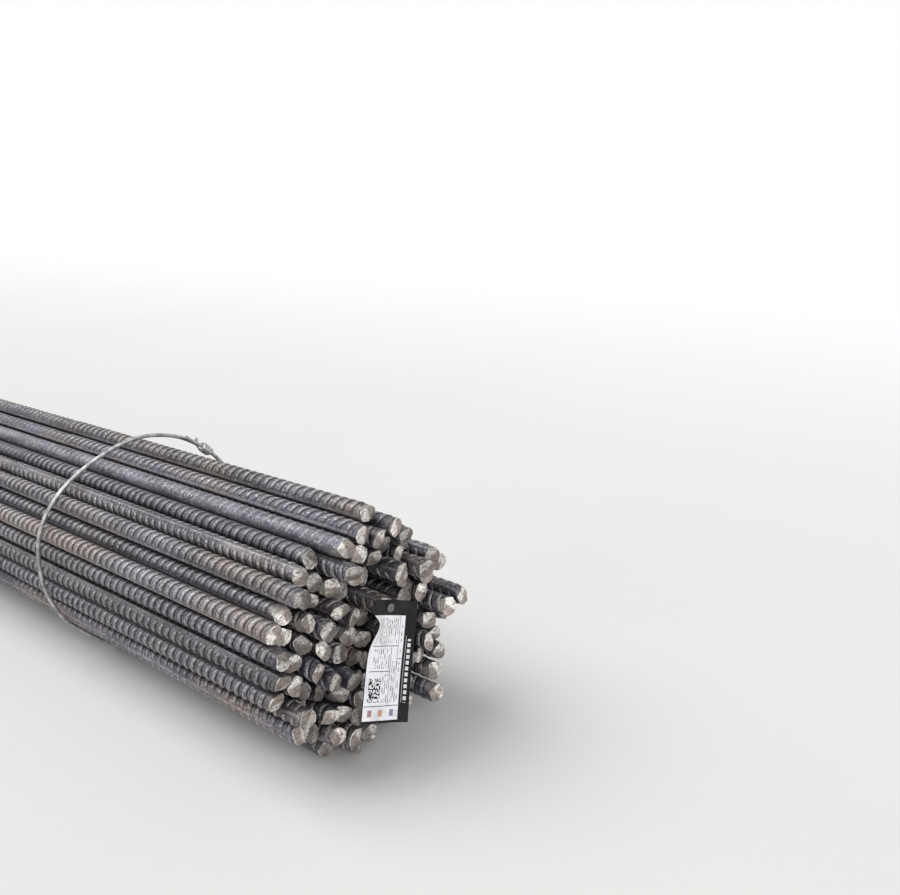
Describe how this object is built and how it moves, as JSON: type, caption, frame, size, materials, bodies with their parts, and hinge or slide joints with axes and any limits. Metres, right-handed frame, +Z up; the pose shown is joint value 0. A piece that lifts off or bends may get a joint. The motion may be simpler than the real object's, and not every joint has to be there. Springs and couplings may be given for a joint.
{
  "type": "rebar bundle",
  "caption": "Round bundle of straight ribbed steel reinforcing bars, tied round with steel wire at intervals, with a tag nailed to one bar end.",
  "frame": {"origin": "middle of the underside of the bundle's box, on the floor", "axes": "+X along the bars towards the tagged end, +Y across, +Z up"},
  "size_m": [9.0644, 0.228, 0.2268],
  "materials": {
    "bar_steel": "hot-rolled, dull mill scale",
    "tie_wire": "bright drawn wire",
    "tag_sheet": "white label on a black sheet",
    "nail_steel": "bright"
  },
  "bodies": {
    "root": {"bars_row_01": "bar_steel", "bars_row_02": "bar_steel", "bars_row_03": "bar_steel", "bars_row_04": "bar_steel", "bars_row_05": "bar_steel", "bars_row_06": "bar_steel", "bars_row_07": "bar_steel", "bars_row_08": "bar_steel", "bars_row_09": "bar_steel", "bars_row_10": "bar_steel", "bars_row_11": "bar_steel", "bars_row_12": "bar_steel", "wire_tie_1": "tie_wire", "wire_tie_2": "tie_wire", "wire_tie_3": "tie_wire", "wire_tie_4": "tie_wire", "wire_tie_5": "tie_wire", "tag": "tag_sheet", "tag_nail": "nail_steel"}
  },
  "joints": []
}
